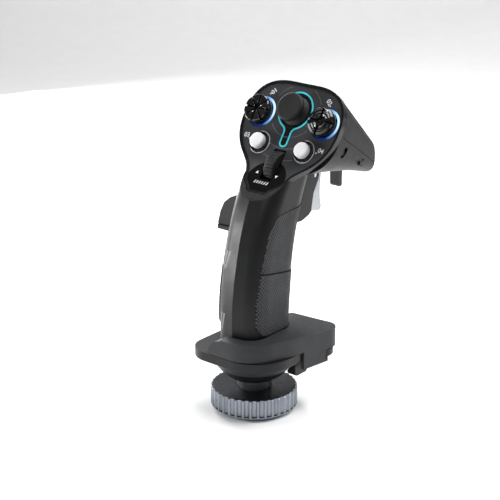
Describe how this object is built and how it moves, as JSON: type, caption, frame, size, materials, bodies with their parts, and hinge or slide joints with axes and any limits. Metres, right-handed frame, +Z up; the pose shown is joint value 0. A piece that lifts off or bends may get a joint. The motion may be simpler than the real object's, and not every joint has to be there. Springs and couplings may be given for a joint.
{
  "type": "flight joystick",
  "caption": "Upright flight joystick grip with a sloped control head, mini-stick, hats, push buttons, scroll wheel, trigger, hand rest and a fluted locking ring.",
  "frame": {"origin": "on the locking ring's axis, at the ring's bottom face", "axes": "+Z up along the ring's axis, -Y towards the pilot, +X to the pilot's right"},
  "size_m": [0.075, 0.115, 0.2001],
  "materials": {
    "ring_metal": "fine satin, grey blue",
    "neck_metal": "bead blasted, dark",
    "cup_black": "satin moulded",
    "flange_black": "satin moulded",
    "rest_black": "satin moulded",
    "handle_black": "satin, slightly soft",
    "pad_rubber": "matte with a fine diamond texture",
    "head_black": "fine satin texture",
    "face_black": "matte with a fine speckle and printed lines",
    "bezel_black": "gloss",
    "gloss_black": "piano gloss",
    "hat_black": "gloss",
    "stick_black": "matte soft touch",
    "button_white": "satin",
    "collar_black": "gloss",
    "wheel_black": "ribbed, satin",
    "guide_cyan": "translucent, lit",
    "guide_blue": "translucent, lit",
    "trigger_grey": "satin silver",
    "steel": "plated",
    "dark_screw": "black oxide",
    "gimbal_grey": "moulded",
    "contact_gold": "plated",
    "board_green": "solder mask",
    "wire_black": "sleeved"
  },
  "bodies": {
    "grip": {"base_flange": "flange_black", "base_screws": "steel", "button_collars": "collar_black", "button_switches": "gimbal_grey", "connector_pins": "contact_gold", "control_board": "board_green", "face_bezel": "bezel_black", "face_light_guide": "guide_cyan", "face_panel": "face_black", "grip_pad_left_lower": "pad_rubber", "grip_pad_left_upper": "pad_rubber", "grip_pad_right_lower": "pad_rubber", "grip_pad_right_upper": "pad_rubber", "handle_left_shell": "handle_black", "handle_right_shell": "handle_black", "handle_screws": "dark_screw", "hat_left_base": "gimbal_grey", "hat_right_base": "gimbal_grey", "head_lower_shell": "head_black", "head_screws": "dark_screw", "head_upper_shell": "head_black", "lever_pin": "steel", "lever_switch": "gimbal_grey", "light_ring_left": "guide_blue", "light_ring_right": "guide_blue", "neck_cup": "cup_black", "neck_stem": "neck_metal", "rest_guide": "flange_black", "scroll_axle": "steel", "scroll_bezel": "gloss_black", "scroll_bracket": "gimbal_grey", "scroll_encoder": "gimbal_grey", "stem_foot": "neck_metal", "stick_carrier": "gimbal_grey", "stick_module": "gimbal_grey", "stick_surround": "collar_black", "thumb_rest": "handle_black", "thumb_rest_screw": "dark_screw", "trigger_housing": "handle_black", "trigger_pin": "steel", "trigger_spring": "steel", "trigger_switch": "gimbal_grey", "wiring_loom": "wire_black"},
    "ring": {"locking_ring": "ring_metal"},
    "stick_ring": {"stick_gimbal_ring": "gimbal_grey"},
    "stick": {"stick_cap": "stick_black", "stick_shaft": "steel", "stick_dome": "stick_black"},
    "hat_left_ring": {"hat_left_rocker": "gimbal_grey"},
    "hat_left": {"hat_left_cap": "hat_black"},
    "hat_right_ring": {"hat_right_rocker": "gimbal_grey"},
    "hat_right": {"hat_right_cap": "hat_black"},
    "button_left": {"button_left_cap": "button_white"},
    "button_right": {"button_right_cap": "button_white"},
    "scroll": {"scroll_wheel": "wheel_black"},
    "trigger_body": {"trigger": "trigger_grey"},
    "lever": {"front_lever": "handle_black"},
    "rest": {"hand_rest": "rest_black"},
    "rest_clamp": {"clamp_wheel": "dark_screw"}
  },
  "joints": [
    {"name": "ring_turn", "type": "hinge", "parent": "grip", "child": "ring", "pos_m": [0, 0, 0.007], "axis": [0, 0, 1], "continuous": true},
    {"name": "stick_tilt_fore_aft", "type": "hinge", "parent": "grip", "child": "stick_ring", "pos_m": [0, 0.04731, 0.17972], "axis": [1, 0, 0], "range_deg": [-17, 17], "stiffness_Nm_per_rad": 0.02},
    {"name": "stick_tilt_sideways", "type": "hinge", "parent": "stick_ring", "child": "stick", "pos_m": [0, 0.04731, 0.17972], "axis": [0, 0.5592, 0.829], "range_deg": [-17, 17], "stiffness_Nm_per_rad": 0.02},
    {"name": "hat_left_tilt_fore_aft", "type": "hinge", "parent": "grip", "child": "hat_left_ring", "pos_m": [-0.0249, 0.04297, 0.17686], "axis": [1, 0, 0], "range_deg": [-6, 6], "stiffness_Nm_per_rad": 0.02},
    {"name": "hat_left_tilt_sideways", "type": "hinge", "parent": "hat_left_ring", "child": "hat_left", "pos_m": [-0.0249, 0.04297, 0.17686], "axis": [0, 0.5592, 0.829], "range_deg": [-6, 6], "stiffness_Nm_per_rad": 0.02},
    {"name": "hat_right_tilt_fore_aft", "type": "hinge", "parent": "grip", "child": "hat_right_ring", "pos_m": [0.0249, 0.04297, 0.17686], "axis": [1, 0, 0], "range_deg": [-6, 6], "stiffness_Nm_per_rad": 0.02},
    {"name": "hat_right_tilt_sideways", "type": "hinge", "parent": "hat_right_ring", "child": "hat_right", "pos_m": [0.0249, 0.04297, 0.17686], "axis": [0, 0.5592, 0.829], "range_deg": [-6, 6], "stiffness_Nm_per_rad": 0.02},
    {"name": "button_left_press", "type": "slide", "parent": "grip", "child": "button_left", "axis": [0, 0.829, -0.5592], "range_m": [0, 0.0012], "stiffness_N_per_m": 500, "springref_m": -0.001},
    {"name": "button_right_press", "type": "slide", "parent": "grip", "child": "button_right", "axis": [0, 0.829, -0.5592], "range_m": [0, 0.0012], "stiffness_N_per_m": 500, "springref_m": -0.001},
    {"name": "scroll_turn", "type": "hinge", "parent": "grip", "child": "scroll", "pos_m": [0, 0.02314, 0.15139], "axis": [1, 0, 0], "continuous": true},
    {"name": "trigger_pull", "type": "hinge", "parent": "grip", "child": "trigger_body", "pos_m": [0, 0.0475, 0.1434], "axis": [-1, 0, 0], "range_deg": [0, 10], "stiffness_Nm_per_rad": 0.12, "springref_deg": -14.32},
    {"name": "front_lever_tilt", "type": "hinge", "parent": "grip", "child": "lever", "pos_m": [0, 0.0806, 0.145], "axis": [-1, 0, 0], "range_deg": [0, 12], "stiffness_Nm_per_rad": 0.02},
    {"name": "hand_rest_lift", "type": "slide", "parent": "grip", "child": "rest", "axis": [0, 0, 1], "range_m": [0, 0.006]},
    {"name": "rest_clamp_turn", "type": "hinge", "parent": "rest", "child": "rest_clamp", "pos_m": [0.0265, 0.0335, 0.034], "axis": [0, 0, 1], "continuous": true}
  ]
}
